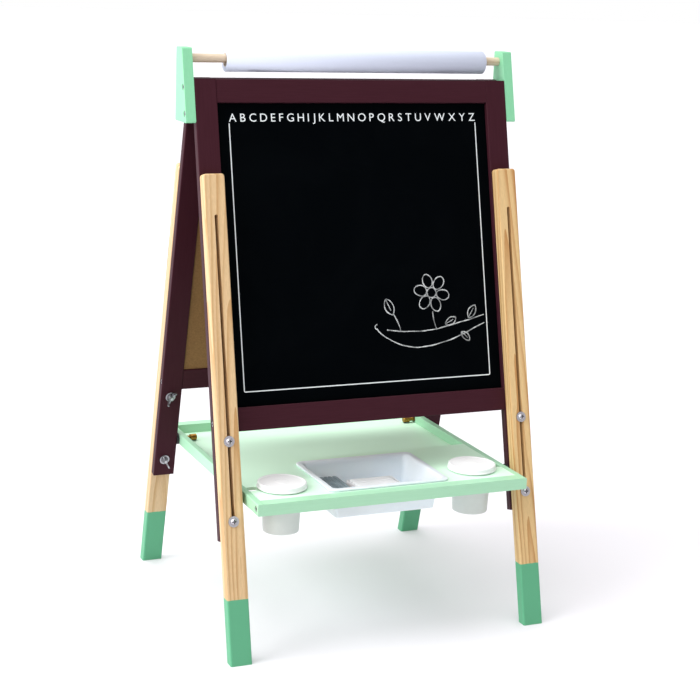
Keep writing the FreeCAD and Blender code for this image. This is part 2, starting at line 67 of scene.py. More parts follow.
def connect(material, made, inputs):
    """Gives a node's inputs their values, or links them where the value is another node's output."""
    for name, value in inputs.items():
        if isinstance(value, bpy.types.NodeSocket):
            material.node_tree.links.new(value, made.inputs[name])
        else:
            made.inputs[name].default_value = value
    return made


def add_node(material, kind, inputs, **settings):
    """Adds a node, with its own settings first and then its inputs."""
    made = material.node_tree.nodes.new("ShaderNode" + kind)
    for name, value in settings.items():
        setattr(made, name, value)
    return connect(material, made, inputs)


def new_material(name):
    """A material with a Principled shader and nothing else."""
    made = bpy.data.materials.new(name)
    made.use_nodes = True
    return made, made.node_tree.nodes["Principled BSDF"]


def dress(material, *nodes):
    """Gives CAD nodes a material, in every slot that they have."""
    for name in nodes:
        mesh = frame["nodes"][name].data
        if not mesh.materials:
            mesh.materials.append(material)
        for index in range(len(mesh.materials)):
            mesh.materials[index] = material


def along_grain(material, tilt, lies_flat):
    """Object coordinates turned so that Z runs along a board's length, then squeezed along Z."""
    squeeze = 0.04
    place = add_node(material, "TexCoord", {})
    quarter = math.pi / 2 if lies_flat else 0.0
    upright = add_node(
        material, "Mapping", {"Vector": place.outputs["Object"], "Rotation": (tilt, quarter, 0.0)}
    )
    return add_node(
        material, "Mapping", {"Vector": upright.outputs["Vector"], "Scale": (1.0, 1.0, squeeze)}
    ).outputs["Vector"]


def painted_wood(name, colour, worn_colour, tilt=0.0, lies_flat=False, roughness=0.42, gloss=0.1,
                 grain_relief=0.22):
    """Sprayed satin paint on planed softwood: faint raised grain 2 mm apart, a fine orange peel.

    The eye gets long soft streaks along the board and a sheen that wavers a little."""
    grain_width = 0.002
    peel_width = 0.0011
    cloud_width = 0.1111
    material, shader = new_material(name)
    coordinates = along_grain(material, tilt, lies_flat)
    grain = add_node(
        material, "TexNoise",
        {"Vector": coordinates, "Scale": 1 / grain_width, "Detail": 3.0, "Roughness": 0.55},
    )
    place = add_node(material, "TexCoord", {})
    peel = add_node(
        material, "TexNoise", {"Vector": place.outputs["Object"], "Scale": 1 / peel_width, "Detail": 1.0}
    )
    cloud = add_node(
        material, "TexNoise", {"Vector": place.outputs["Object"], "Scale": 1 / cloud_width, "Detail": 1.0}
    )
    shade = add_node(
        material, "MapRange",
        {"Value": grain.outputs["Fac"], "From Min": 0.35, "From Max": 0.75, "To Min": 0.0, "To Max": 0.5},
    )
    tone = add_node(
        material, "Mix",
        {"Factor": shade.outputs["Result"], "A": srgb(colour), "B": srgb(worn_colour)},
        data_type="RGBA",
    )
    rough = add_node(
        material, "MapRange",
        {"Value": cloud.outputs["Fac"], "From Min": 0.1, "From Max": 0.9,
         "To Min": roughness - 0.05, "To Max": roughness + 0.05},
    )
    raised = add_node(
        material, "Bump", {"Height": grain.outputs["Fac"], "Strength": grain_relief, "Distance": 0.0003}
    )
    skin_bump = add_node(
        material, "Bump",
        {"Height": peel.outputs["Fac"], "Normal": raised.outputs["Normal"],
         "Strength": 0.08, "Distance": 0.0001},
    )
    connect(material, shader, {
        "Base Color": tone.outputs["Result"],
        "Roughness": rough.outputs["Result"],
        "Normal": skin_bump.outputs["Normal"],
        "Specular IOR Level": gloss,
    })
    return material


maroon = "3A1922"
maroon_light = "43202A"
for side, tilt in (("front", lean), ("rear", -lean)):
    upright = painted_wood("maroon_satin_paint_" + side + "_stiles", maroon, maroon_light, tilt)
    level = painted_wood("maroon_satin_paint_" + side + "_rails", maroon, maroon_light, tilt, True)
    dress(upright, side + "_stile_left", side + "_stile_right")
    dress(level, side + "_top_rail", side + "_bottom_rail")


# ---- boards ----------------------------------------------------------------------------
# Three-millimetre hardboard held in grooves: matt black chalkboard paint in front, a gloss
# white dry-wipe coat behind, and bare brown fibre with a pressed screen pattern on both backs.

def hardboard(name, face_colour, dust_colour, face_sign, roughness, gloss):
    """Paint on the outer face and bare brown fibre on the other, told apart by the surface's direction.

    The eye gets an even coat with faint wiped smears in front, and a dull pressed screen at the back."""
    screen_pitch = 0.0022
    fibre_width = 0.002381
    smear_width = 0.1667
    material, shader = new_material(name)
    place = add_node(material, "TexCoord", {})
    direction = add_node(material, "SeparateXYZ", {"Vector": place.outputs["Normal"]})
    outer = add_node(
        material, "Math", {0: direction.outputs["Y"], 1: face_sign}, operation="MULTIPLY"
    )
    painted = add_node(material, "Math", {0: outer.outputs["Value"], 1: 0.3}, operation="GREATER_THAN")
    smear = add_node(
        material, "TexNoise",
        {"Vector": place.outputs["Object"], "Scale": 1 / smear_width, "Detail": 5.0, "Roughness": 0.6,
         "Distortion": 1.2},
    )
    dusty = add_node(
        material, "MapRange",
        {"Value": smear.outputs["Fac"], "From Min": 0.45, "From Max": 0.8, "To Min": 0.0, "To Max": 0.35},
    )
    coat = add_node(
        material, "Mix",
        {"Factor": dusty.outputs["Result"], "A": srgb(face_colour), "B": srgb(dust_colour)},
        data_type="RGBA",
    )
    fibre = add_node(
        material, "TexNoise", {"Vector": place.outputs["Object"], "Scale": 1 / fibre_width, "Detail": 4.0}
    )
    bare = add_node(
        material, "Mix",
        {"Factor": fibre.outputs["Fac"], "A": srgb("6B4A27"), "B": srgb("9A7644")},
        data_type="RGBA",
    )
    both = add_node(
        material, "Mix",
        {"Factor": painted.outputs["Value"], "A": bare.outputs["Result"], "B": coat.outputs["Result"]},
        data_type="RGBA",
    )
    bare_rough = add_node(
        material, "MapRange",
        {"Value": painted.outputs["Value"], "To Min": 0.85, "To Max": roughness},
    )
    wires = {"Vector": place.outputs["Object"], "Scale": math.pi / 10 / screen_pitch}
    weave_x = add_node(material, "TexWave", wires, bands_direction="X")
    weave_z = add_node(material, "TexWave", wires, bands_direction="Z")
    weave = add_node(
        material, "Math", {0: weave_x.outputs["Fac"], 1: weave_z.outputs["Fac"]}, operation="MULTIPLY"
    )
    back_only = add_node(material, "Math", {0: 1.0, 1: painted.outputs["Value"]}, operation="SUBTRACT")
    pressed = add_node(
        material, "Math", {0: weave.outputs["Value"], 1: back_only.outputs["Value"]}, operation="MULTIPLY"
    )
    grit = add_node(
        material, "Math", {0: fibre.outputs["Fac"], 1: 0.12, 2: pressed.outputs["Value"]},
        operation="MULTIPLY_ADD",
    )
    bump = add_node(
        material, "Bump", {"Height": grit.outputs["Value"], "Strength": 0.3, "Distance": 0.0004}
    )
    connect(material, shader, {
        "Base Color": both.outputs["Result"],
        "Roughness": bare_rough.outputs["Result"],
        "Normal": bump.outputs["Normal"],
        "Specular IOR Level": gloss,
    })
    return material


dress(hardboard("matt_chalkboard_paint", "010305", "080B0D", -1.0, 0.8, 0.02), "chalkboard")
dress(hardboard("gloss_dry_wipe_coat", "F2F4F5", "E6E9EB", 1.0, 0.12, 0.5), "dry_wipe_board")


# ---- printed border, letters and chalk drawing -----------------------------------------
# A thin screen-printed white line round the chalkboard with a plain alphabet above it, and a
# child's chalk drawing of a twig with leaves and a flower. All lie a hair proud of the paint.

pin_height = joints["rear_frame_fold"]["pos_m"][2]
board_face = 0.0098
print_lift = 0.00006
row_offset = 0.005


def on_board(across, row, lift):
    """A point of the front board, from its place across, distance below the top edge, and lift.

    The three are turned by the frame's lean about the hinge pin's line."""
    out = board_face + lift
    down = row_offset - row
    back = -out * math.cos(lean) + down * math.sin(lean)
    up = out * math.sin(lean) + down * math.cos(lean) + pin_height
    return np.stack(np.broadcast_arrays(across, back, up), axis=-1)


def finish_mesh(name, mesh, material, body, smooth=True):
    """Closes seams and poles, turns faces outwards, and makes the mesh a piece on a body."""
    work = bmesh.new()
    work.from_mesh(mesh)
    bmesh.ops.remove_doubles(work, verts=work.verts, dist=1e-6)
    bmesh.ops.dissolve_degenerate(work, edges=work.edges, dist=1e-7)
    bmesh.ops.recalc_face_normals(work, faces=work.faces)
    work.to_mesh(mesh)
    work.free()
    mesh.polygons.foreach_set("use_smooth", np.full(len(mesh.polygons), smooth))
    mesh.materials.append(material)
    piece = bpy.data.objects.new(name, mesh)
    bpy.context.scene.collection.objects.link(piece)
    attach(piece, body)
    return piece


def grid_faces(rows, columns, wrap_rows, wrap_columns, start=0):
    """Quads between neighbours of a grid of points, joined round where it wraps."""
    row = np.arange(rows if wrap_rows else rows - 1)[:, None]
    column = np.arange(columns if wrap_columns else columns - 1)[None, :]
    next_row = (row + 1) % rows
    next_column = (column + 1) % columns
    corners = (
        row * columns + column,
        row * columns + next_column,
        next_row * columns + next_column,
        next_row * columns + column,
    )
    return np.stack(np.broadcast_arrays(*corners), axis=-1).reshape(-1, 4) + start


def skin(name, grids, material, body, wrap_rows=False, wrap_columns=False, smooth=True):
    """One piece from one or more grids of points, each a surface over two parameters."""
    points = []
    faces = []
    start = 0
    for grid in grids:
        points.append(grid.reshape(-1, 3))
        faces.append(grid_faces(grid.shape[0], grid.shape[1], wrap_rows, wrap_columns, start))
        start += grid.shape[0] * grid.shape[1]
    mesh = bpy.data.meshes.new(name)
    mesh.from_pydata(np.concatenate(points).tolist(), [], np.concatenate(faces).tolist())
    return finish_mesh(name, mesh, material, body, smooth)


def stroke(across, row, width, thickness):
    """A flat line on the board: four corners carried square to a path, closed at both ends."""
    along_x = np.gradient(across)
    along_row = np.gradient(row)
    length = np.hypot(along_x, along_row)
    side_x = -along_row / length * width / 2
    side_row = along_x / length * width / 2
    edges = []
    for sign, lift in ((1, 0.0), (1, thickness), (-1, thickness), (-1, 0.0)):
        edges.append(on_board(across + sign * side_x, row + sign * side_row, print_lift + lift))
    body = np.stack(edges, axis=1)
    middle = body.mean(axis=1, keepdims=True)
    ends = [np.repeat(middle[index:index + 1], 4, axis=1) for index in (0, -1)]
    return np.concatenate([ends[0], body, ends[1]])


def flecked(name, fleck_width, detail, low_colour, high_colour, surface, relief=0.0, depth=0.0001):
    """A finish of two close tones mixed by a fine noise, which also lifts it where it has relief."""
    material, shader = new_material(name)
    place = add_node(material, "TexCoord", {})
    fleck = add_node(
        material, "TexNoise",
        {"Vector": place.outputs["Object"], "Scale": 1 / fleck_width, "Detail": detail},
    )
    tone = add_node(
        material, "Mix", {"Factor": fleck.outputs["Fac"], "A": srgb(low_colour), "B": srgb(high_colour)},
        data_type="RGBA",
    )
    connect(material, shader, {"Base Color": tone.outputs["Result"], **surface})
    if relief:
        bump = add_node(
            material, "Bump", {"Height": fleck.outputs["Fac"], "Strength": relief, "Distance": depth}
        )
        connect(material, shader, {"Normal": bump.outputs["Normal"]})
    return material


# Screen ink is flat and opaque; its slightly open edge and body read as clean white lines.
ink = flecked("white_screen_print_ink", 0.001111, 2.0, "DCE4E6", "F2F6F7", {"Roughness": 0.6})
print_thickness = 0.00008

border_half = 0.217
border_top = 0.0690
border_bottom = 0.491
line_width = 0.0016
corner_radius = 0.002
turn = np.linspace(0, math.pi / 2, 6)
left_corner_x = -border_half + corner_radius * (1 - np.cos(turn))
corner_row = border_bottom - corner_radius * (1 - np.sin(turn))
side_end = border_bottom - 0.01
border_x = np.concatenate([[-border_half] * 2, left_corner_x, -left_corner_x[::-1], [border_half] * 2])
border_row = np.concatenate([[border_top, side_end], corner_row, corner_row[::-1], [side_end, border_top]])
skin("board_border_line", [stroke(border_x, border_row, line_width, print_thickness)], ink,
     "front_frame", wrap_columns=True, smooth=False)

letter_height = 0.0128
letter_row = 0.0662
letters = "ABCDEFGHIJKLMNOPQRSTUVWXYZ"
curve = bpy.data.curves.new("letter_shape", "FONT")
curve.resolution_u = 4
holder = bpy.data.objects.new("letter_shape", curve)
bpy.context.scene.collection.objects.link(holder)
letter_shapes = []
for letter in letters:
    curve.body = letter
    bpy.context.view_layer.update()
    evaluated = holder.evaluated_get(bpy.context.evaluated_depsgraph_get())
    shape = bpy.data.meshes.new_from_object(evaluated)
    flat = np.zeros(len(shape.vertices) * 3)
    shape.vertices.foreach_get("co", flat)
    letter_shapes.append((flat.reshape(-1, 3), [list(face.vertices) for face in shape.polygons]))
    bpy.data.meshes.remove(shape)
letter_scale = letter_height / np.ptp(letter_shapes[0][0][:, 1])
letter_widths = [np.ptp(flat[:, 0]) * letter_scale for flat, _ in letter_shapes]
letter_gap = (2 * border_half - sum(letter_widths)) / (len(letters) - 1)
letter_points = []
letter_faces = []
left_edge = -border_half
point_count = 0
for (flat, shape_faces), width in zip(letter_shapes, letter_widths):
    across = (flat[:, 0] - flat[:, 0].min()) * letter_scale + left_edge
    letter_points.append(on_board(across, letter_row - flat[:, 1] * letter_scale, print_lift))
    letter_faces += [[corner + point_count for corner in corners] for corners in shape_faces]
    point_count += len(flat)
    left_edge += width + letter_gap
bpy.data.objects.remove(holder)
letter_mesh = bpy.data.meshes.new("board_letters")
letter_mesh.from_pydata(np.concatenate(letter_points).tolist(), [], letter_faces)
board_letters = finish_mesh("board_letters", letter_mesh, ink, "front_frame", smooth=False)
thicken = board_letters.modifiers.new("print_thickness", "SOLIDIFY")
thicken.thickness = print_thickness
thicken.offset = 0.0

# Chalk catches only the high points of the paint, so the line breaks into crumbs 0.7 mm wide,
# and a lighter press of the hand every 14 mm or so lets the board show through.
crumb_width = 0.0006667
press_length = 0.01429
chalk, chalk_shader = new_material("white_chalk_stroke")
chalk_place = add_node(chalk, "TexCoord", {})
chalk_grit = add_node(
    chalk, "TexNoise", {"Vector": chalk_place.outputs["Object"], "Scale": 1 / crumb_width, "Detail": 3.0}
)
chalk_cover = add_node(
    chalk, "MapRange",
    {"Value": chalk_grit.outputs["Fac"], "From Min": 0.36, "From Max": 0.52},
)
chalk_press = add_node(
    chalk, "TexNoise", {"Vector": chalk_place.outputs["Object"], "Scale": 1 / press_length, "Detail": 2.0}
)
chalk_firm = add_node(
    chalk, "MapRange",
    {"Value": chalk_press.outputs["Fac"], "From Min": 0.32, "From Max": 0.6, "To Min": 0.25, "To Max": 1.0},
)
chalk_share = add_node(
    chalk, "Math", {0: chalk_cover.outputs["Result"], 1: chalk_firm.outputs["Result"]},
    operation="MULTIPLY",
)
chalk_tone = add_node(
    chalk, "Mix", {"Factor": chalk_share.outputs["Value"], "A": srgb("2A2E30"), "B": srgb("EDF1F1")},
    data_type="RGBA",
)
connect(chalk, chalk_shader, {"Base Color": chalk_tone.outputs["Result"], "Roughness": 0.95,
                              "Specular IOR Level": 0.05})


def chalk_line(across, row, seed, width=0.0016):
    """A chalk stroke: a path with sines that make it waver by 0.4 mm and its width swell and thin."""
    random = np.random.default_rng(seed)
    count = len(across)
    step = np.linspace(0, count / 6, count)
    phase = random.uniform(0, 6, 4)
    waver = 0.0004 * (np.sin(step + phase[0]) + 0.5 * np.sin(2.7 * step + phase[1]))
    swell = width * (1 + 0.16 * np.sin(1.9 * step + phase[2]) + 0.1 * np.sin(5.1 * step + phase[3]))
    chalk_thickness = 0.00012
    return stroke(across, row + waver, swell, chalk_thickness)


def closed_loop(center_x, center_row, wide, high, tilt_angle, power=1.0):
    """An oval, or a leaf where power is above one and pinches its ends, turned by an angle.

    It runs a little past a full turn, as a hand does when it closes a loop."""
    angle = np.linspace(0.1, 2 * math.pi + 0.25, 60)
    x = wide * np.cos(angle)
    y = high * np.sin(angle) * np.abs(np.sin(angle)) ** (power - 1)
    turned_x = x * math.cos(tilt_angle) - y * math.sin(tilt_angle)
    turned_y = x * math.sin(tilt_angle) + y * math.cos(tilt_angle)
    return center_x + turned_x, center_row + turned_y


# The twig is two sagging lines joined by a round tip; the stems rise from it.
twig_start = 0.016
twig_length = 0.196
tip_radius = 0.004
share = np.linspace(0, 1, 90)
twig_x = twig_start + twig_length * share
under_row = 0.404 + 0.034 * np.sin(math.pi * share ** 0.75)
upper_row = 0.400 + 0.016 * np.sin(math.pi * share ** 0.8) - 0.010 * share
tip_angle = np.linspace(-math.pi / 2, -1.5 * math.pi, 16)
chalk_lines = [
    chalk_line(twig_x, under_row, 1),
    chalk_line(twig_x[8:], upper_row[8:], 2),
    chalk_line(0.017 + tip_radius * np.cos(tip_angle), 0.401 + tip_radius * np.sin(tip_angle), 3),
]
stem = np.linspace(0, 1, 24)
flower_x = 0.118
flower_row = 0.350
chalk_lines.append(chalk_line(flower_x + 0.006 * stem ** 2, flower_row + 0.031 + 0.030 * stem, 4))
chalk_lines.append(chalk_line(0.058 - 0.012 * stem ** 1.5, 0.410 - 0.030 * stem, 5))
leaves = (
    (0.040, 0.370, 0.014, 1.15), (0.150, 0.398, 0.011, -0.5),
    (0.176, 0.424, 0.010, 0.8), (0.190, 0.384, 0.012, -1.0),
)
for seed, (at_x, at_row, size, turned_by) in enumerate(leaves):
    leaf_x, leaf_row = closed_loop(at_x, at_row, size, size * 0.55, turned_by, 1.6)
    chalk_lines.append(chalk_line(leaf_x, leaf_row, 10 + seed))
    vein = np.linspace(-1.0, 0.5, 14)
    vein_x = at_x + vein * size * math.cos(turned_by)
    chalk_lines.append(chalk_line(vein_x, at_row + vein * size * math.sin(turned_by), 20 + seed, 0.0011))
petal_reach = 0.0205
for index in range(6):
    around_flower = index * math.pi / 3 + 0.2
    petal_x = flower_x + petal_reach * math.cos(around_flower)
    petal_row = flower_row + petal_reach * math.sin(around_flower)
    petal = closed_loop(petal_x, petal_row, 0.0115, 0.0085, around_flower)
    chalk_lines.append(chalk_line(*petal, 30 + index))
chalk_lines.append(chalk_line(*closed_loop(flower_x, flower_row, 0.0082, 0.0080, 0.3), 40))
skin("chalk_drawing", chalk_lines, chalk, "front_frame", wrap_columns=True, smooth=False)


# ---- legs ------------------------------------------------------------------------------
# Planed pine bars with a clear satin varnish, slotted for their bolts, and dipped in mint
# paint at the foot. Growth rings show as soft orange lines that run along each leg.

def pine(name, tilt, heart, wander, pale, dark, dip_height=None, lies_flat=False):
    """Flat-sawn pine: rings round a heart that wanders out of the bar, so they meet its face as flames.

    The eye gets long soft orange lines, a fine fibre, a low varnish sheen and, on a leg, a painted foot."""
    ring_pitch = 0.0068
    fibre_width = 0.0006
    cloud_width = 0.01667
    knot_spacing = 0.095
    drip_width = 0.00625
    drip_height = 0.0012
    dip_edge = 0.0006
    material, shader = new_material(name)
    place = add_node(material, "TexCoord", {})
    squared = add_node(
        material, "Mapping",
        {"Vector": place.outputs["Object"], "Rotation": (tilt, math.pi / 2 if lies_flat else 0.0, 0.0),
         "Location": (-heart[0], -heart[1], 0.0)},
    )
    wandering = add_node(
        material, "Mapping", {"Vector": squared.outputs["Vector"], "Rotation": (*wander, 0.0)}
    )
    drawn_out = add_node(
        material, "Mapping", {"Vector": wandering.outputs["Vector"], "Scale": (1.0, 1.0, 0.06)}
    )
    coordinates = drawn_out.outputs["Vector"]
    rings = add_node(
        material, "TexWave",
        {"Vector": coordinates, "Scale": math.pi / 10 / ring_pitch, "Distortion": 5.0, "Detail": 2.0,
         "Detail Scale": 1.1, "Detail Roughness": 0.5},
        wave_type="RINGS", rings_direction="Z", wave_profile="SAW",
    )
    fibres = add_node(
        material, "TexNoise", {"Vector": coordinates, "Scale": 1 / fibre_width, "Detail": 2.0}
    )
    cloud = add_node(
        material, "TexNoise", {"Vector": coordinates, "Scale": 1 / cloud_width, "Detail": 3.0}
    )
    late_wood = add_node(
        material, "MapRange",
        {"Value": rings.outputs["Fac"], "From Min": 0.35, "From Max": 1.0, "To Min": 0.0, "To Max": 0.85},
        interpolation_type="SMOOTHSTEP",
    )
    tone = add_node(
        material, "Mix",
        {"Factor": late_wood.outputs["Result"], "A": srgb(pale), "B": srgb(dark)},
        data_type="RGBA",
    )
    mottle = add_node(
        material, "MapRange",
        {"Value": cloud.outputs["Fac"], "From Min": 0.35, "From Max": 0.75, "To Min": 0.0, "To Max": 0.7},
    )
    mottled = add_node(
        material, "Mix",
        {"Factor": mottle.outputs["Result"], "A": tone.outputs["Result"], "B": srgb(pale)},
        data_type="RGBA",
    )
    knots = add_node(
        material, "TexVoronoi",
        {"Vector": squared.outputs["Vector"], "Scale": 1 / knot_spacing},
    )
    knot = add_node(
        material, "MapRange",
        {"Value": knots.outputs["Distance"], "From Min": 0.02, "From Max": 0.09,
         "To Min": 0.85, "To Max": 0.0},
        interpolation_type="SMOOTHSTEP",
    )
    knotty = add_node(
        material, "Mix",
        {"Factor": knot.outputs["Result"], "A": mottled.outputs["Result"], "B": srgb("8A5226")},
        data_type="RGBA",
    )
    fine = add_node(
        material, "MapRange",
        {"Value": fibres.outputs["Fac"], "From Min": 0.3, "From Max": 0.7, "To Min": 0.88, "To Max": 1.05},
    )
    wood = add_node(
        material, "VectorMath", {0: knotty.outputs["Result"], "Scale": fine.outputs["Result"]},
        operation="SCALE",
    )
    colour = wood.outputs["Vector"]
    if dip_height:
        place_parts = add_node(material, "SeparateXYZ", {"Vector": place.outputs["Object"]})
        ragged = add_node(
            material, "TexNoise",
            {"Vector": place.outputs["Object"], "Scale": 1 / drip_width, "Detail": 2.0},
        )
        edge = add_node(
            material, "Math", {0: ragged.outputs["Fac"], 1: drip_height, 2: place_parts.outputs["Z"]},
            operation="MULTIPLY_ADD",
        )
        bare = add_node(
            material, "MapRange",
            {"Value": edge.outputs["Value"], "From Min": dip_height, "From Max": dip_height + dip_edge},
        )
        colour = add_node(
            material, "Mix",
            {"Factor": bare.outputs["Result"], "A": srgb("5FAA82"), "B": colour},
            data_type="RGBA",
        ).outputs["Result"]
    bump = add_node(
        material, "Bump", {"Height": rings.outputs["Fac"], "Strength": 0.1, "Distance": 0.0002}
    )
    fine_bump = add_node(
        material, "Bump",
        {"Height": fibres.outputs["Fac"], "Normal": bump.outputs["Normal"],
         "Strength": 0.15, "Distance": 0.0002},
    )
    connect(material, shader, {
        "Base Color": colour,
        "Roughness": 0.42,
        "Normal": fine_bump.outputs["Normal"],
        "Specular IOR Level": 0.25,
    })
    return material


# Each leg is its own piece of timber: how its heart wanders, its pale wood and its dark wood.
leg_boards = {
    "front_left": ((0.035, -0.020), "DCBC8F", "BA8A52"),
    "front_right": ((-0.030, 0.024), "DFBE89", "B07334"),
    "rear_left": ((0.026, 0.018), "D9BC94", "BF9562"),
    "rear_right": ((-0.034, -0.015), "D6B482", "B27C44"),
}
foot_dip = 0.0987
heart_aside = 0.006
heart_behind = 0.012
for side, tilt in (("front", lean), ("rear", -lean)):
    for hand in ("left", "right"):
        name = side + "_leg_" + hand
        low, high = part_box(name)
        middle = (low + high) / 2
        depth_place = middle.y * math.cos(tilt) - middle.z * math.sin(tilt)
        heart = (middle.x + heart_aside, depth_place + math.copysign(heart_behind, -tilt))
        dress(pine("varnished_pine_" + name, tilt, heart, *leg_boards[side + "_" + hand], foot_dip), name)


# ---- side plates and tray woodwork -----------------------------------------------------
# Mint satin paint over pine plates, pine tray rails and fibreboard panels. The panels are
# smooth, so only the spray's orange peel breaks up the light on them. Their mint is painted far paler than
# the rails' same paint: a painted highlight on the tray's upward faces that also lifts the shade of the
# frames over the tray.

mint_plate = painted_wood("mint_satin_paint_plates", "86CFA1", "90D5AA", 0.0, False, 0.4, 0.45)
mint_rail = painted_wood("mint_satin_paint_cross_rails", "A6D9B5", "AEDFBD", 0.0, True, 0.36, 0.4)
# Painted light: the panels' near-white mint stands in for sheen on the upward faces and for light under the
# frames, not for a paler paint.
mint_panel_painted_light = painted_wood("mint_satin_paint_panels_painted_light", "D8FBE1", "DCFDE5", 0.0, True, 0.4, 0.12, 0.03)
dress(mint_plate, "side_plate_left", "side_plate_right")
dress(mint_rail, "tray_front_rail", "tray_rear_rail", "tray_cross_rail")
dress(mint_panel_painted_light, "tray_floor", "tray_front_board")
long_rail = painted_wood("mint_satin_paint_side_rails", "A6D9B5", "AEDFBD", math.pi / 2, False, 0.36, 0.4)
dress(long_rail, "tray_side_rail_left", "tray_side_rail_right")


# ---- steel, brass and nylon fixings ----------------------------------------------------
# Zinc-plated bolts, washers, wing nuts and screws; satin steel hinges; turned brass hand
# screws and inserts; moulded nylon spacers. Handling leaves fine scratches on the metals.

def metal(name, colour, dull_colour, roughness):
    """A plated or turned metal: colour clouds, short scratches, and painted shade in slots and corners.

    The eye gets a soft broken glint on the flats and dark painted shade where parts meet."""
    scratch_width = 0.0007
    cloud_width = 0.003846
    painted_shade_reach = 0.004
    material, shader = new_material(name)
    place = add_node(material, "TexCoord", {})
    cloud = add_node(
        material, "TexNoise", {"Vector": place.outputs["Object"], "Scale": 1 / cloud_width, "Detail": 4.0}
    )
    squeezed = add_node(
        material, "Mapping",
        {"Vector": place.outputs["Object"], "Rotation": (0.7, 0.4, 0.3), "Scale": (1.0, 1.0, 0.08)},
    )
    scratch = add_node(
        material, "TexNoise",
        {"Vector": squeezed.outputs["Vector"], "Scale": 1 / scratch_width, "Detail": 2.0},
    )
    clean = add_node(
        material, "Mix",
        {"Factor": cloud.outputs["Fac"], "A": srgb(colour), "B": srgb(dull_colour)},
        data_type="RGBA",
    )
    # Painted shade: ambient occlusion darkens the colour towards near black 1C1B1D in slots, recesses and
    # where parts meet, standing in for the shade that falls there.
    painted_crevice_shade = add_node(material, "AmbientOcclusion", {"Distance": painted_shade_reach})
    unshaded_share = add_node(
        material, "MapRange", {"Value": painted_crevice_shade.outputs["AO"], "From Min": 0.45, "From Max": 0.9}
    )
    tone = add_node(
        material, "Mix",
        {"Factor": unshaded_share.outputs["Result"], "A": srgb("1C1B1D"), "B": clean.outputs["Result"]},
        data_type="RGBA",
    )
    rough = add_node(
        material, "MapRange",
        {"Value": scratch.outputs["Fac"], "From Min": 0.3, "From Max": 0.7,
         "To Min": roughness - 0.08, "To Max": roughness + 0.12},
    )
    bump = add_node(
        material, "Bump", {"Height": scratch.outputs["Fac"], "Strength": 0.1, "Distance": 0.0001}
    )
    connect(material, shader, {
        "Base Color": tone.outputs["Result"],
        "Metallic": 1.0,
        "Roughness": rough.outputs["Result"],
        "Normal": bump.outputs["Normal"],
    })
    return material


zinc = metal("zinc_plated_steel", "D8D6DC", "BDBBC2", 0.5)
hinge_steel = metal("satin_hinge_steel", "B4B3AE", "94938E", 0.42)
brass = metal("turned_brass", "B98B3F", "8A6530", 0.36)
wing_zinc = metal("blued_zinc_wing_nuts", "B4B5BA", "8C8D92", 0.32)
for side in ("front", "rear"):
    dress(zinc, side + "_leg_bolts", side + "_washers", side + "_screws")
    dress(hinge_steel, side + "_hinge_leaves")
    dress(brass, side + "_thread_inserts", side + "_hand_screw_left", side + "_hand_screw_right")
    for hand in ("left", "right"):
        dress(wing_zinc, side + "_wing_nut_" + hand + "_upper", side + "_wing_nut_" + hand + "_lower")
dress(zinc, "tray_screws")
dress(hinge_steel, "hinge_pins")

# Nylon leaves the mould with a fine spark-eroded grain, so the black looks soft and a little grey.
nylon = flecked("moulded_black_nylon", 0.0007143, 2.0, "1B1C1E", "2A2B2E", {"Roughness": 0.5}, 0.2)
dress(nylon, "front_spacers", "rear_spacers")


# ---- dowel and paper roll --------------------------------------------------------------
# A sanded birch dowel carries a roll of white drawing paper wound on a card core. The winding
# shows as fine rings on the roll's ends, and its free edge as a low step along its length.

dowel_low, dowel_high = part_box("dowel")
dowel_middle = (dowel_low + dowel_high) / 2
dowel_heart = (dowel_middle.z, dowel_middle.y)
birch = pine("sanded_birch", 0.0, dowel_heart, (0.01, 0.01), "D9C6AE", "C4AB8C", lies_flat=True)
dress(birch, "dowel")

# Uncoated paper is matt and slightly blue with whitener; its fibres only just roughen the light.
paper = flecked("uncoated_drawing_paper", 0.0009091, 3.0, "CED5E8", "DAE0F0",
                {"Roughness": 0.85, "Specular IOR Level": 0.2}, 0.12)

# The core's strip of grey card is wound at a slant, and each turn's edge shows as a faint band.
card_strip = 0.02
card, card_shader = new_material("wound_grey_card")
card_place = add_node(card, "TexCoord", {})
card_turned = add_node(
    card, "Mapping", {"Vector": card_place.outputs["Object"], "Rotation": (0.0, 0.0, 0.6)}
)
card_wind = add_node(
    card, "TexWave",
    {"Vector": card_turned.outputs["Vector"], "Scale": math.pi / 10 / card_strip, "Distortion": 0.4},
)
card_tone = add_node(
    card, "Mix", {"Factor": card_wind.outputs["Fac"], "A": srgb("B9B0A6"), "B": srgb("C8C0B8")},
    data_type="RGBA",
)
connect(card, card_shader, {"Base Color": card_tone.outputs["Result"], "Roughness": 0.9})
dress(card, "paper_core")

roll_low, roll_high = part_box("paper_roll")
core_low, core_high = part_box("paper_core")
roll_radius = (roll_high.z - roll_low.z) / 2
core_gap = 0.00005
core_radius = (core_high.z - core_low.z) / 2 + core_gap
roll_middle = (roll_low + roll_high) / 2
sheet_step = 0.0004
winding_pitch = 0.0008
edge_round = 0.0007
around = np.linspace(0, 2 * math.pi, 161)
outer_edge = roll_radius - sheet_step * around / (2 * math.pi)
end_share = np.linspace(0, 1, 41)
half_length = (roll_high.x - roll_low.x) / 2
ripple = 0.0005


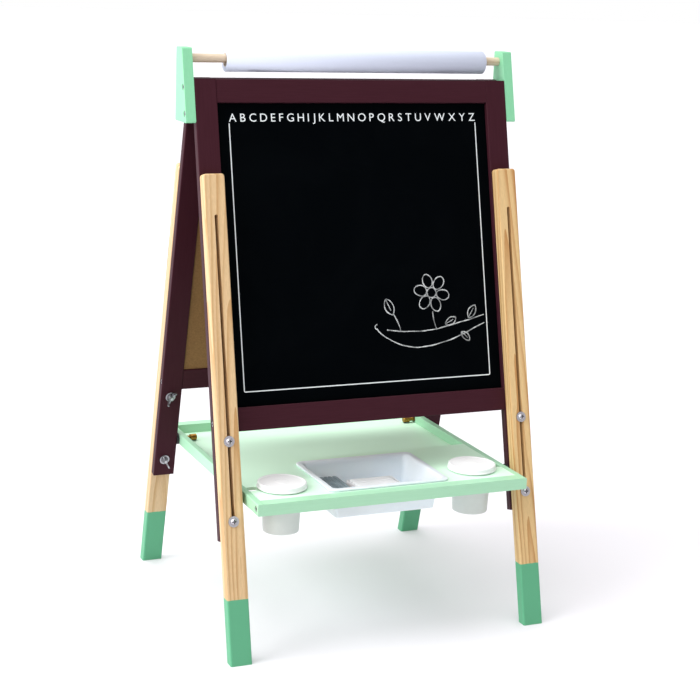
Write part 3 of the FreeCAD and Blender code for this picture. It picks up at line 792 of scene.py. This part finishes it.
def roll_surface():
    """Round the roll by angle and along a profile: end face with rings, outside, other end, bore.

    The outside's radius falls by one sheet over a turn, which leaves the free edge as a step."""
    reach = core_radius + (outer_edge[:, None] - core_radius) * end_share[None, :]
    turns = (roll_radius - reach) / winding_pitch + around[:, None] / (2 * math.pi)
    inset = ripple * (0.5 + 0.5 * np.sin(2 * math.pi * turns)) * np.sin(math.pi * end_share) ** 0.25
    inset = inset + edge_round * end_share ** 14
    near_end = -half_length + inset
    radius = np.concatenate([reach, reach[:, ::-1], reach[:, :1]], axis=1)
    position = np.concatenate([near_end, half_length - inset[:, ::-1], near_end[:, :1]], axis=1)
    angle = around[:, None]
    x = roll_middle.x + position
    y = roll_middle.y + radius * np.cos(angle)
    z = roll_middle.z + radius * np.sin(angle)
    return np.stack(np.broadcast_arrays(x, y, z), axis=-1)


roll = skin("wound_paper_roll", [roll_surface()], paper, "paper_roll", wrap_rows=True)
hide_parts("paper_roll")


# ---- paint cups and lids ---------------------------------------------------------------
# Injection-moulded white cups that hang in the tray by a flange, each closed by a snap lid with
# a raised rim and a sunken top. The plastic lets a little light into it.

def moulded(name, colour, deep_colour, roughness, glow, clearness=0.0):
    """Moulded plastic: faint flow clouds, a fine spark-eroded grain, some light under the skin.

    The eye gets a waxy white whose edges and shaded sides stay soft."""
    flow_width = 0.03333
    grain_width = 0.0006667
    light_reach = 0.004
    material, shader = new_material(name)
    place = add_node(material, "TexCoord", {})
    flow = add_node(
        material, "TexNoise",
        {"Vector": place.outputs["Object"], "Scale": 1 / flow_width, "Detail": 3.0, "Distortion": 0.8},
    )
    grain = add_node(
        material, "TexNoise", {"Vector": place.outputs["Object"], "Scale": 1 / grain_width, "Detail": 1.0}
    )
    tone = add_node(
        material, "Mix",
        {"Factor": flow.outputs["Fac"], "A": srgb(deep_colour), "B": srgb(colour)},
        data_type="RGBA",
    )
    rough = add_node(
        material, "MapRange",
        {"Value": flow.outputs["Fac"], "To Min": roughness - 0.05, "To Max": roughness + 0.05},
    )
    bump = add_node(
        material, "Bump", {"Height": grain.outputs["Fac"], "Strength": 0.06, "Distance": 0.0001}
    )
    connect(material, shader, {
        "Base Color": tone.outputs["Result"],
        "Roughness": rough.outputs["Result"],
        "Normal": bump.outputs["Normal"],
        "Subsurface Weight": glow,
        "Subsurface Radius": (light_reach, light_reach, light_reach),
        "Subsurface Scale": 1.0,
        "Transmission Weight": clearness,
    })
    return material


def eased(corners, radius, steps=6):
    """A path through corners, each replaced by a parabola that starts and ends a radius away from it."""
    corners = np.array(corners, float)
    before = corners[:-2] - corners[1:-1]
    after = corners[2:] - corners[1:-1]
    before_length = np.linalg.norm(before, axis=1, keepdims=True)
    after_length = np.linalg.norm(after, axis=1, keepdims=True)
    reach = np.minimum(radius, 0.48 * np.minimum(before_length, after_length))
    first = corners[1:-1] + before / before_length * reach
    last = corners[1:-1] + after / after_length * reach
    share = np.linspace(0, 1, steps)[None, :, None]
    bends = (
        (1 - share) ** 2 * first[:, None] + 2 * share * (1 - share) * corners[1:-1, None]
        + share ** 2 * last[:, None]
    )
    return np.concatenate([corners[:1], bends.reshape(-1, corners.shape[1]), corners[-1:]])


def spun(corners, radius, middle, count=72):
    """A profile of radius and height, eased at its corners and spun about an upright axis."""
    path = eased(corners, radius)
    angle = np.linspace(0, 2 * math.pi, count, endpoint=False)[:, None]
    x = middle.x + path[:, 0] * np.cos(angle)
    y = middle.y + path[:, 0] * np.sin(angle)
    z = np.broadcast_to(path[:, 1], x.shape)
    return np.stack([x, y, z], axis=-1)


pot_plastic = moulded("satin_white_polypropylene", "D9DEDA", "CCD2CD", 0.38, 0.2)
lid_plastic = moulded("gloss_white_polypropylene", "FAFAFB", "F4F6F8", 0.24, 0.15)
cup_wall = 0.0016
flange_reach = 0.0055
flange_thickness = 0.002
cup_taper = 0.003
foot_rise = 0.0012
lid_wall = 0.0013
lid_sunk = 0.0008
boss_rise = 0.0003
board_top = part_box("tray_front_board")[1].z
for hand in ("left", "right"):
    low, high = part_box("paint_cup_" + hand)
    middle = (low + high) / 2
    flange_radius = (high.x - low.x) / 2
    flange_top = board_top + flange_thickness
    neck = flange_radius - flange_reach
    base = neck - cup_taper
    foot_ring = base - 0.005
    floor_top = low.z + foot_rise + cup_wall
    cup_corners = [
        (0, low.z + foot_rise), (foot_ring, low.z + foot_rise), (foot_ring + foot_rise, low.z),
        (base, low.z), (neck, board_top), (flange_radius, board_top), (flange_radius, flange_top),
        (neck, flange_top), (neck, high.z), (neck - cup_wall, high.z), (base - cup_wall, floor_top),
        (0, floor_top),
    ]
    pot = skin("moulded_cup_" + hand, [spun(cup_corners, 0.0008, middle)], pot_plastic,
               "paint_cup_" + hand, wrap_rows=True)
    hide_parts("paint_cup_" + hand)

    low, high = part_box("cup_lid_" + hand)
    lid_radius = (high.x - low.x) / 2
    inner = neck + 0.0004
    lid_top = high.z - lid_sunk
    lid_corners = [
        (0, lid_top - lid_wall), (inner, lid_top - lid_wall), (inner, low.z), (lid_radius, low.z),
        (lid_radius, low.z + 0.0018), (lid_radius - 0.0010, low.z + 0.0026),
        (lid_radius - 0.0014, high.z - 0.0008), (lid_radius - 0.0040, high.z),
        (lid_radius - 0.0068, lid_top), (lid_radius * 0.28, lid_top),
        (lid_radius * 0.25, lid_top + boss_rise), (0, lid_top + boss_rise),
    ]
    cap = skin("snap_lid_" + hand, [spun(lid_corners, 0.0017, middle, 96)], lid_plastic,
               "cup_lid_" + hand, wrap_rows=True)
    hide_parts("cup_lid_" + hand)


# ---- tub -------------------------------------------------------------------------------
# A shallow tub of milky, slightly blue plastic that hangs in the tray by a broad rolled rim. Its
# walls taper, its corners are round, and light comes through them.

tub_low, tub_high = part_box("tub")
tub_middle = (tub_low + tub_high) / 2
rim_x = (tub_high.x - tub_low.x) / 2
rim_y = (tub_high.y - tub_low.y) / 2
flange = 0.0098
taper = 0.0085
tub_wall = 0.002
bottom_wall = 0.0017
rim_under = board_top + 0.0001


def rounded_rings(path):
    """Rounded rectangles stacked along a path of inset, height and share of the full size.

    Each corner is a quarter circle that tightens as the ring shrinks; a share of 0 closes a floor."""
    widest_corner = 0.012
    tightest_corner = 0.004
    per_corner = 10
    inset = path[:, :1]
    height = path[:, 1:2]
    share = path[:, 2:3]
    half_x = (rim_x - inset) * share
    half_y = (rim_y - inset) * share
    corner = np.maximum(widest_corner - 0.35 * inset, tightest_corner) * share
    quarter = np.linspace(0, math.pi / 2, per_corner)
    angle = np.concatenate([quarter + step * math.pi / 2 for step in range(4)])[None, :]
    sign_x = np.repeat([1, -1, -1, 1], per_corner)[None, :]
    sign_y = np.repeat([1, 1, -1, -1], per_corner)[None, :]
    x = tub_middle.x + sign_x * (half_x - corner) + corner * np.cos(angle)
    y = tub_middle.y + sign_y * (half_y - corner) + corner * np.sin(angle)
    z = np.broadcast_to(height, x.shape)
    return np.stack([x, y, z], axis=-1)


bottom_inset = flange + taper
tub_corners = [
    (bottom_inset, tub_low.z, 0.0), (bottom_inset, tub_low.z, 1.0), (flange + 0.0005, rim_under, 1.0),
    (0.0004, rim_under, 1.0), (0.0, tub_high.z, 1.0), (flange - 0.0008, tub_high.z, 1.0),
    (flange + tub_wall, tub_high.z - 0.004, 1.0),
    (bottom_inset + tub_wall, tub_low.z + bottom_wall, 1.0),
    (bottom_inset + tub_wall, tub_low.z + bottom_wall, 0.0),
]
tub_path = eased(tub_corners, 0.004, 8)
frosted = moulded("milky_blue_polypropylene", "EDF4FF", "E2ECFB", 0.3, 0.85, 0.05)
tub = skin("moulded_tub", [rounded_rings(tub_path)], frosted, "tub", wrap_columns=True)
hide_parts("tub")


# ---- eraser ----------------------------------------------------------------------------
# A varnished beech block with a pad of pressed wool felt glued to it, cut into five strips that
# round over at their tops. The felt is faintly streaked with chalk dust.

beech = painted_wood("varnished_beech_block", "B06A32", "C98848", math.pi / 2, False, 0.35, 0.4)
dress(beech, "eraser_block")

# Felt is dull and fuzzy: hairs drawn 0.8 mm apart to show, and chalk dust in patches of 17 mm.
hair_width = 0.0007692
dust_width = 0.01667
felt, felt_shader = new_material("pressed_grey_felt")
felt_place = add_node(felt, "TexCoord", {})
felt_hair = add_node(
    felt, "TexNoise",
    {"Vector": felt_place.outputs["Object"], "Scale": 1 / hair_width, "Detail": 5.0, "Distortion": 1.0},
)
felt_dust = add_node(
    felt, "TexNoise", {"Vector": felt_place.outputs["Object"], "Scale": 1 / dust_width, "Detail": 4.0}
)
felt_mixed = add_node(
    felt, "Math", {0: felt_hair.outputs["Fac"], 1: felt_dust.outputs["Fac"]}, operation="MULTIPLY"
)
felt_share = add_node(
    felt, "MapRange", {"Value": felt_mixed.outputs["Value"], "From Min": 0.12, "From Max": 0.45}
)
felt_tone = add_node(
    felt, "Mix", {"Factor": felt_share.outputs["Result"], "A": srgb("54666E"), "B": srgb("879AA2")},
    data_type="RGBA",
)
felt_bump = add_node(
    felt, "Bump", {"Height": felt_hair.outputs["Fac"], "Strength": 0.8, "Distance": 0.0006}
)
connect(felt, felt_shader, {"Base Color": felt_tone.outputs["Result"], "Roughness": 0.95,
                            "Sheen Weight": 0.3, "Normal": felt_bump.outputs["Normal"]})

felt_low, felt_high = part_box("eraser_felt")
felt_middle = (felt_low + felt_high) / 2
strip_count = 5


def felt_strips():
    """Five bars side by side: each a rounded section carried along Y, drawn in at both ends."""
    width = (felt_high.x - felt_low.x) / strip_count
    angle = np.linspace(0, 2 * math.pi, 28, endpoint=False)
    round_x = np.sign(np.cos(angle)) * np.abs(np.cos(angle)) ** 0.5
    round_z = np.sign(np.sin(angle)) * np.abs(np.sin(angle)) ** 0.5
    along = np.linspace(-1, 1, 40)
    drawn_in = (1 - np.abs(along) ** 14) ** 0.5
    half_long = (felt_high.y - felt_low.y) / 2
    half_high = (felt_high.z - felt_low.z) / 2
    bars = []
    for index in range(strip_count):
        middle_x = felt_low.x + (index + 0.5) * width
        x = middle_x + 0.49 * width * round_x[None, :] * drawn_in[:, None]
        z = felt_middle.z + half_high * round_z[None, :] * drawn_in[:, None]
        y = np.broadcast_to(felt_middle.y + half_long * along[:, None], x.shape)
        bars.append(np.stack([x, y, z], axis=-1))
    return bars


pad = skin("felt_strips", felt_strips(), felt, "eraser", wrap_columns=True)
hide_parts("eraser_felt")


# ---- chalk box -------------------------------------------------------------------------
# A folded box of white coated card, open at the top, filled with sticks of white chalk that lie
# side by side. The sticks are cast, a little tapered, and dusty.

# Coated card has a low sheen that dips where the board under it is uneven; chalk is dead matt.
carton = flecked("coated_white_card", 0.007143, 4.0, "E9ECEF", "F5F6F8", {"Roughness": 0.45}, 0.15, 0.0003)
cast_chalk = moulded("cast_white_chalk", "F3F4F5", "E4E7E9", 0.85, 0.0)

box_low, box_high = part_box("chalk_box")
box_middle = (box_low + box_high) / 2
card_thickness = 0.0008
chalk_above_rim = 0.004


def carton_shell():
    """A square-cornered tray: outer walls, top edge and inner walls as a path of shrinking rectangles."""
    half = np.array([(box_high.x - box_low.x) / 2, (box_high.y - box_low.y) / 2])
    rim = box_high.z - chalk_above_rim
    levels = np.array([
        (0.0, 1.0, box_low.z, 0.0), (0.0, 1.0, box_low.z, 1.0), (0.0, 1.0, rim, 1.0),
        (card_thickness, 1.0, rim, 1.0), (card_thickness, 1.0, box_low.z + card_thickness, 1.0),
        (card_thickness, 1.0, box_low.z + card_thickness, 0.0),
    ])
    corner = np.array([(1, 1), (-1, 1), (-1, -1), (1, -1)])
    x = box_middle.x + (half[0] - levels[:, :1]) * levels[:, 3:] * corner[None, :, 0]
    y = box_middle.y + (half[1] - levels[:, :1]) * levels[:, 3:] * corner[None, :, 1]
    z = np.broadcast_to(levels[:, 2:3], x.shape)
    return np.stack([x, y, z], axis=-1)


def chalk_sticks():
    """Rows of tapered sticks along X: the radius falls to nothing at both ends and tapers between."""
    stick_radius = 0.0050
    along = np.linspace(-1, 1, 22)
    profile = stick_radius * (1 - 0.06 * along) * (1 - np.abs(along) ** 24) ** 0.5
    angle = np.linspace(0, 2 * math.pi, 20, endpoint=False)
    usable = (box_high.y - box_low.y) - 2 * card_thickness
    columns = int(usable / (2.06 * stick_radius))
    half_long = (box_high.x - box_low.x) / 2 - card_thickness - 0.001
    sticks = []
    for layer in range(3):
        for column in range(columns):
            middle_y = box_low.y + card_thickness + usable * (column + 0.5) / columns
            middle_z = box_low.z + card_thickness + stick_radius * (1 + 2.0 * layer)
            x = box_middle.x + (-1) ** column * half_long * along[:, None] + 0 * angle[None, :]
            y = middle_y + profile[:, None] * np.cos(angle)[None, :]
            z = middle_z + profile[:, None] * np.sin(angle)[None, :]
            sticks.append(np.stack([x, y, z], axis=-1))
    return sticks


shell = skin("chalk_carton", [carton_shell()], carton, "chalk_box",
             wrap_columns=True, smooth=False)
sticks = skin("chalk_sticks", chalk_sticks(), cast_chalk, "chalk_box", wrap_columns=True)
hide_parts("chalk_box")


# ---- studio ----------------------------------------------------------------------------
# A plain pale floor that runs into a white surround, a soft key light from the upper left, and a
# camera at the eye height of a seated adult.

# Matt paper that glows a little, so that it burns out to white and keeps only the soft shadow.
floor_white = flecked(
    "matt_studio_floor", 0.5, 2.0, "CDCACF", "D1CED3",
    {"Roughness": 0.9, "Specular IOR Level": 0.0,
     "Emission Color": srgb("FFFFFF"), "Emission Strength": 0.2},
)
floor_half = 30.0
floor_corners = np.array([(-1, -1, 0), (1, -1, 0), (1, 1, 0), (-1, 1, 0)]) * floor_half
floor_mesh = bpy.data.meshes.new("studio_floor")
floor_mesh.from_pydata(floor_corners.tolist(), [], [(0, 1, 2, 3)])
floor_mesh.materials.append(floor_white)
studio_floor = bpy.data.objects.new("studio_floor", floor_mesh)
bpy.context.scene.collection.objects.link(studio_floor)

scene = bpy.context.scene
scene.view_settings.view_transform = "Standard"

# The surround is brightest behind the left shoulder and dim at the right, as beside a big softbox.
# Seen directly it is plain white.
surround = bpy.data.worlds.new("white_surround")
surround.use_nodes = True
direction = add_node(surround, "TexCoord", {})
towards_softbox = add_node(
    surround, "VectorMath", {0: direction.outputs["Generated"], 1: (-0.80, 0.12, 0.58)},
    operation="DOT_PRODUCT",
)
glow = add_node(
    surround, "MapRange",
    {"Value": towards_softbox.outputs["Value"], "From Min": -0.7, "From Max": 0.9,
     "To Min": 0.16, "To Max": 0.95},
)
seen = add_node(surround, "LightPath", {})
strength = add_node(
    surround, "Mix", {"Factor": seen.outputs["Is Camera Ray"], "A": glow.outputs["Result"], "B": 1.0}
)
connect(surround, surround.node_tree.nodes["Background"], {
    "Color": (1.0, 1.0, 1.0, 1.0), "Strength": strength.outputs["Result"],
})
scene.world = surround


def sun(name, towards, strength, spread):
    """A soft distant light that shines from a direction, with the spread of its disc in degrees."""
    lamp = bpy.data.lights.new(name, "SUN")
    lamp.energy = strength
    lamp.angle = math.radians(spread)
    holder = bpy.data.objects.new(name, lamp)
    holder.rotation_euler = Vector(towards).to_track_quat("Z", "Y").to_euler()
    scene.collection.objects.link(holder)


def softbox(name, place, aim, side, power):
    """A square area light at a place, turned to its aim; nearby, so it fades down the easel."""
    lamp = bpy.data.lights.new(name, "AREA")
    lamp.energy = power
    lamp.size = side
    holder = bpy.data.objects.new(name, lamp)
    holder.location = place
    holder.rotation_euler = (Vector(place) - Vector(aim)).to_track_quat("Z", "Y").to_euler()
    scene.collection.objects.link(holder)


sun("left_key_light", (-0.80, -0.08, 0.56), 1.55, 36)
sun("top_light", (0.0, 0.15, 1.0), 1.8, 50)
softbox("front_softbox", (-1.1, -1.3, 1.9), (0.0, 0.0, 0.65), 0.9, 5)
softbox("left_softbox", (-1.25, 0.0, 1.05), (0.0, 0.0, 0.35), 0.7, 6)

camera_data = bpy.data.cameras.new("studio_camera")
camera_data.lens = 84.32
camera_data.sensor_width = 36.0
camera_data.shift_y = -0.07
camera = bpy.data.objects.new("studio_camera", camera_data)
camera_place = Vector((-1.0680, -2.4628, 1.0600))
turn_left, tilt_down, roll_angle = -0.4133, -0.2021, 0.0371
camera.matrix_world = (
    Matrix.Translation(camera_place)
    @ Matrix.Rotation(turn_left, 4, "Z")
    @ Matrix.Rotation(math.pi / 2 + tilt_down, 4, "X")
    @ Matrix.Rotation(roll_angle, 4, "Z")
)
scene.collection.objects.link(camera)
scene.camera = camera
